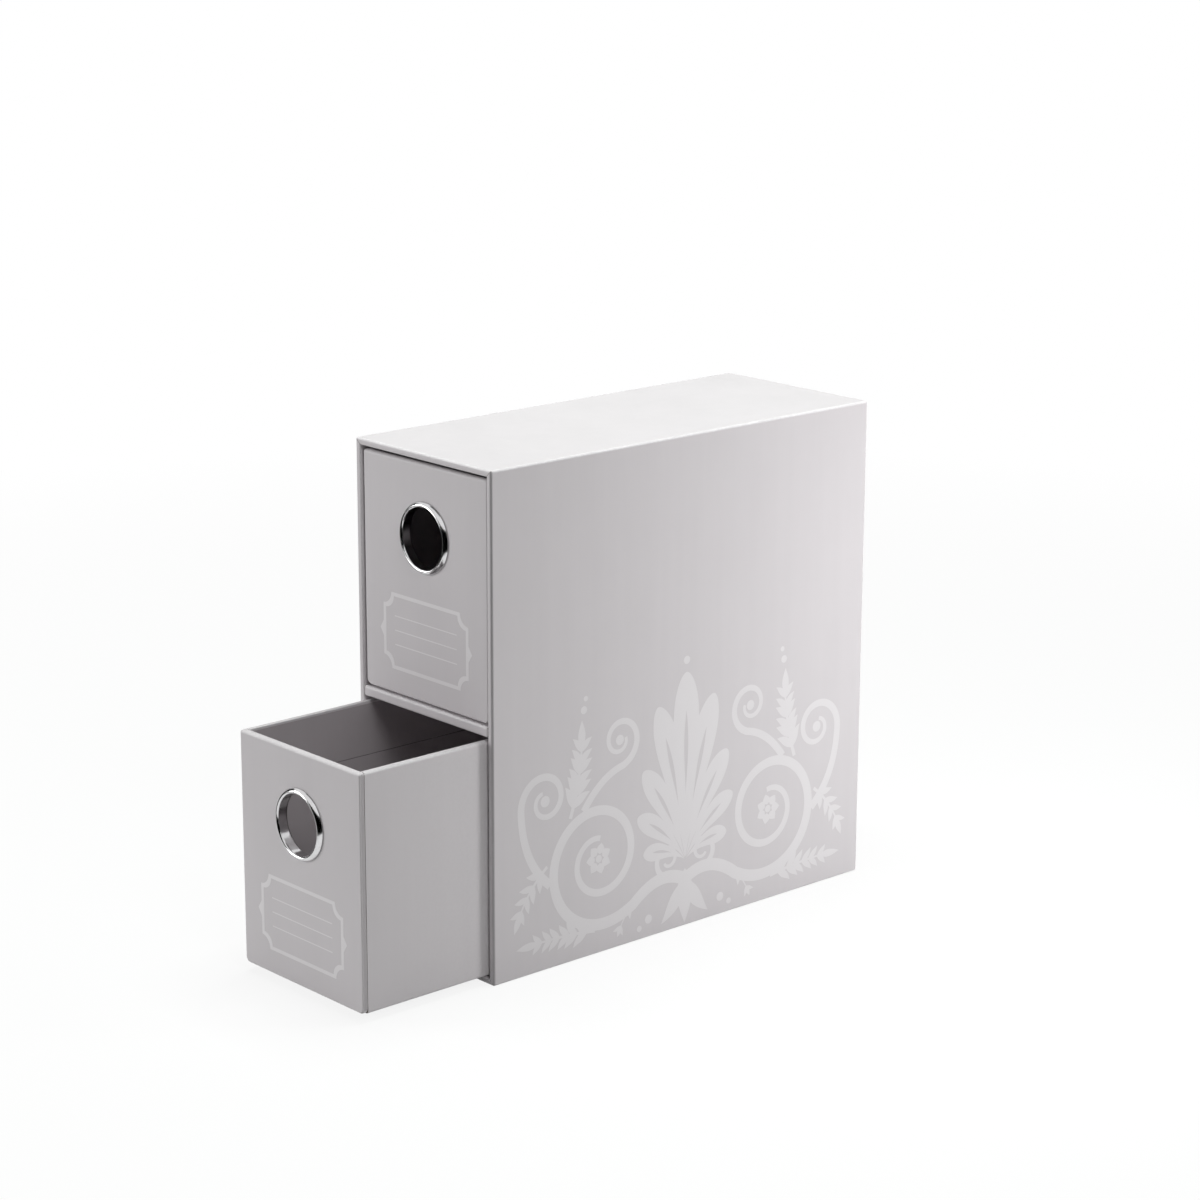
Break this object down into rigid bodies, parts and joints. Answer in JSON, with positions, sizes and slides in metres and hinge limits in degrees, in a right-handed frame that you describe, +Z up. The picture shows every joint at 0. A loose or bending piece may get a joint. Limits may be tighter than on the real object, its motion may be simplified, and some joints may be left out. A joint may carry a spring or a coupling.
{
  "type": "playing card box with drawers",
  "caption": "Upright paper-covered board slipcase with a shelf and two open-topped card drawers, one above the other, each pulled out by a round metal finger ring.",
  "frame": {"origin": "centre of the case's base, on the surface that it stands on", "axes": "+Z up, -Y out of the mouth along the drawers' travel, +X to the right seen from the front"},
  "size_m": [0.082, 0.2656, 0.205],
  "materials": {
    "case_paper": "matte laminated, pale lilac grey",
    "drawer_paper": "matte laminated, pale lilac grey",
    "bay_lining": "matte dark grey card",
    "tray_lining": "matte dark grey uncoated paper",
    "greyboard": "raw recycled board",
    "ring_metal": "polished"
  },
  "bodies": {
    "case": {"case_left_board": "greyboard", "case_right_board": "greyboard", "case_top_board": "greyboard", "case_bottom_board": "greyboard", "case_back_board": "greyboard", "shelf_board": "greyboard", "case_wrap": "case_paper", "base_sheet": "case_paper", "back_sheet": "case_paper", "shelf_wrap": "case_paper", "upper_bay_lining": "bay_lining", "lower_bay_lining": "bay_lining"},
    "upper_drawer": {"upper_front_panel": "greyboard", "upper_panel_wrap": "drawer_paper", "upper_tray_bottom": "greyboard", "upper_tray_left": "greyboard", "upper_tray_right": "greyboard", "upper_tray_back": "greyboard", "upper_tray_wrap": "drawer_paper", "upper_tray_lining": "tray_lining", "upper_finger_ring": "ring_metal", "upper_ring_washer": "ring_metal"},
    "lower_drawer": {"lower_front_panel": "greyboard", "lower_panel_wrap": "drawer_paper", "lower_tray_bottom": "greyboard", "lower_tray_left": "greyboard", "lower_tray_right": "greyboard", "lower_tray_back": "greyboard", "lower_tray_wrap": "drawer_paper", "lower_tray_lining": "tray_lining", "lower_finger_ring": "ring_metal", "lower_ring_washer": "ring_metal"}
  },
  "joints": [
    {"name": "upper_drawer_slide", "type": "slide", "parent": "case", "child": "upper_drawer", "axis": [0, -1, 0], "range_m": [0, 0.19]},
    {"name": "lower_drawer_slide", "type": "slide", "parent": "case", "child": "lower_drawer", "axis": [0, -1, 0], "range_m": [-0.062, 0.128]}
  ]
}
